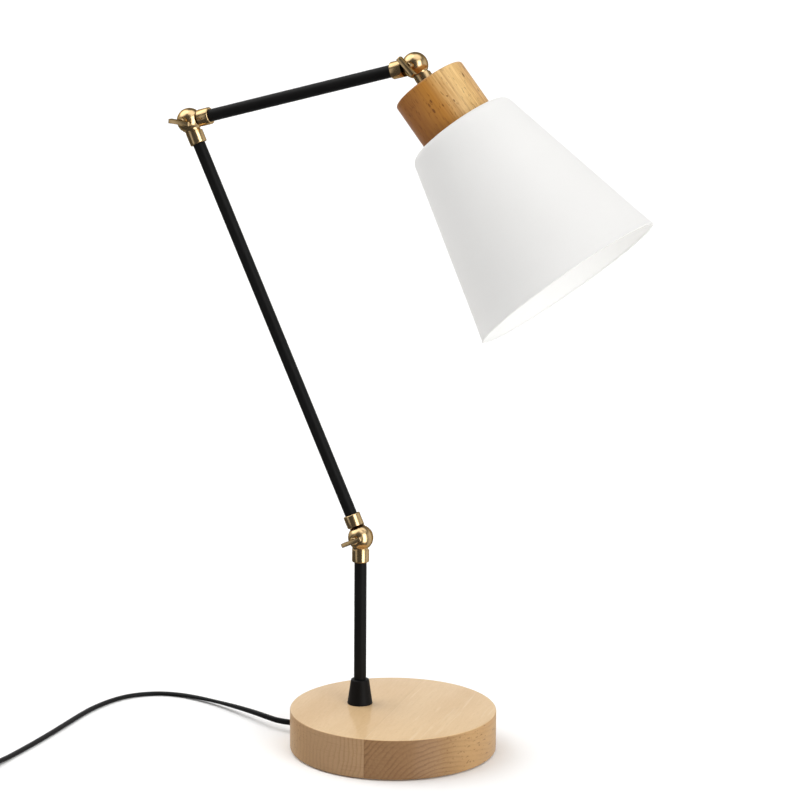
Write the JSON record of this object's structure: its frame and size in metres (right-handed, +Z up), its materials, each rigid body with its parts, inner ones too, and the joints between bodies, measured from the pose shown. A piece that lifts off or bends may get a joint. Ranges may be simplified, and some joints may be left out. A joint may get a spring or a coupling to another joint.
{
  "type": "jointed table lamp",
  "caption": "Table lamp with a round wooden base, a jointed black tube arm with brass knuckles and thumb screws, a wooden cup and a white metal shade, with cord, switch and plug.",
  "frame": {"origin": "on the table under the middle of the round base, at the underside of its pad", "axes": "+X from the stem towards the shade in the pictured pose, +Y to the far side along the joints' axes, +Z up"},
  "size_m": [0.6237, 0.4366, 0.6061],
  "materials": {
    "beech": "satin lacquer",
    "brown_beech": "satin lacquer",
    "pad": "felt",
    "iron": "rough",
    "steel": "zinc plated",
    "black_paint": "matt powder coat",
    "white_paint": "matt",
    "brass": "satin",
    "black_rubber": "matt",
    "black_cord": "satin",
    "fibre": "matt",
    "grey_plastic": "matt",
    "white_plastic": "satin",
    "black_plastic": "fine texture",
    "bulb_metal": "bright",
    "opal_glass": "opal",
    "tie": "woven"
  },
  "bodies": {
    "base": {"wood_base": "beech", "base_pad": "pad", "base_weight": "iron", "weight_screws": "steel", "ferrule": "black_paint", "stem_tube": "black_paint", "stem_washer": "steel", "stem_nut": "brass", "cord_bushing": "black_rubber", "lead_clamp": "grey_plastic", "clamp_screws": "steel", "base_lead": "black_cord", "stem_knuckle": "brass", "friction_washer_low": "fibre", "cord_lead": "black_cord", "switch_base": "black_plastic", "switch_cover": "black_plastic", "switch_contacts": "brass", "switch_screws": "steel", "cord_link": "black_cord", "cord_coil": "black_cord", "cord_tie": "tie", "cord_tail": "black_cord", "plug_body": "black_plastic", "plug_pins": "steel"},
    "lower_arm": {"lower_arm_foot_knuckle": "brass", "lower_arm_tube": "black_paint", "lower_arm_top_knuckle": "brass", "lower_arm_lead": "black_cord", "friction_washer_elbow": "fibre"},
    "upper_arm": {"upper_arm_rear_knuckle": "brass", "upper_arm_tube": "black_paint", "upper_arm_front_knuckle": "brass", "upper_arm_lead": "black_cord"},
    "head": {"head_knuckle": "brass", "friction_washer_head": "fibre", "head_lead": "black_cord", "head_nipple": "steel", "wood_cup": "brown_beech", "cup_washer": "steel", "cup_nut": "brass", "lampholder_cap": "white_plastic", "lampholder_skirt": "white_plastic", "lampholder_disc": "white_plastic", "lampholder_contact": "brass", "lampholder_shell": "brass", "shade_ring": "white_plastic", "shade": "white_paint", "bulb_cap": "bulb_metal", "bulb_globe": "opal_glass"},
    "low_screw": {"thumb_screw_low": "brass"},
    "elbow_screw": {"thumb_screw_elbow": "brass"},
    "head_screw": {"thumb_screw_head": "brass"},
    "rocker": {"switch_rocker": "black_plastic"}
  },
  "joints": [
    {"name": "stem_joint", "type": "hinge", "parent": "base", "child": "lower_arm", "pos_m": [-0.032, 0, 0.1855], "axis": [0, 1, 0], "range_deg": [-60, 70]},
    {"name": "elbow_joint", "type": "hinge", "parent": "lower_arm", "child": "upper_arm", "pos_m": [-0.19682, 0, 0.53896], "axis": [0, 1, 0], "range_deg": [-100, 5]},
    {"name": "head_joint", "type": "hinge", "parent": "upper_arm", "child": "head", "pos_m": [0.01588, 0, 0.59516], "axis": [0, 1, 0], "range_deg": [-130, 38]},
    {"name": "low_screw_turn", "type": "hinge", "parent": "lower_arm", "child": "low_screw", "pos_m": [-0.032, 0, 0.1855], "axis": [0, 1, 0], "range_deg": [-180, 180]},
    {"name": "elbow_screw_turn", "type": "hinge", "parent": "upper_arm", "child": "elbow_screw", "pos_m": [-0.19682, 0, 0.53896], "axis": [0, 1, 0], "range_deg": [-180, 180]},
    {"name": "head_screw_turn", "type": "hinge", "parent": "upper_arm", "child": "head_screw", "pos_m": [0.01588, 0, 0.59516], "axis": [0, 1, 0], "range_deg": [-180, 180]},
    {"name": "rocker_tip", "type": "hinge", "parent": "base", "child": "rocker", "pos_m": [-0.286, -0.271, 0.012], "axis": [1, 0, 0], "range_deg": [-16, 0]}
  ]
}
